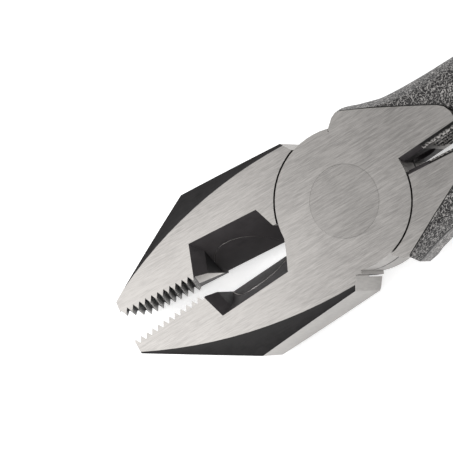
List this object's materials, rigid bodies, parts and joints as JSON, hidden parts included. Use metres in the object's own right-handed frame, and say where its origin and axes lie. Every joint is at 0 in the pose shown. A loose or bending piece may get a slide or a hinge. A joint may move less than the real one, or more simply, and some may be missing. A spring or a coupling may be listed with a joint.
{
  "type": "lineman pliers",
  "caption": "Square-nosed side-cutting pliers with a lap hinge, flush rivet, toothed jaws, bevelled cutter, crimping notch and dipped-shape textured grips.",
  "frame": {"origin": "on the hinge axis, at the rear flat face of the head", "axes": "+X towards the handles along the line midway between the halves, +Z along the hinge axis out of the front face"},
  "size_m": [0.2359, 0.0742, 0.0199],
  "materials": {
    "forged_steel": "ground and brushed along the tool, black oxide in the bevels, teeth and cutter pocket",
    "rivet_steel": "ground flush and brushed with the head",
    "grip_core": "smooth moulded plastic",
    "grip_skin": "pebbled soft plastic"
  },
  "bodies": {
    "front_handle": {"front_half": "forged_steel", "hinge_rivet": "rivet_steel", "front_grip_core": "grip_core", "front_grip_skin": "grip_skin"},
    "rear_handle": {"rear_half": "forged_steel", "rear_grip_core": "grip_core", "rear_grip_skin": "grip_skin"}
  },
  "joints": [
    {"name": "plier_hinge", "type": "hinge", "parent": "front_handle", "child": "rear_handle", "pos_m": [0, 0, 0.00795], "axis": [0, 0, -1], "range_deg": [-7, 27]}
  ]
}
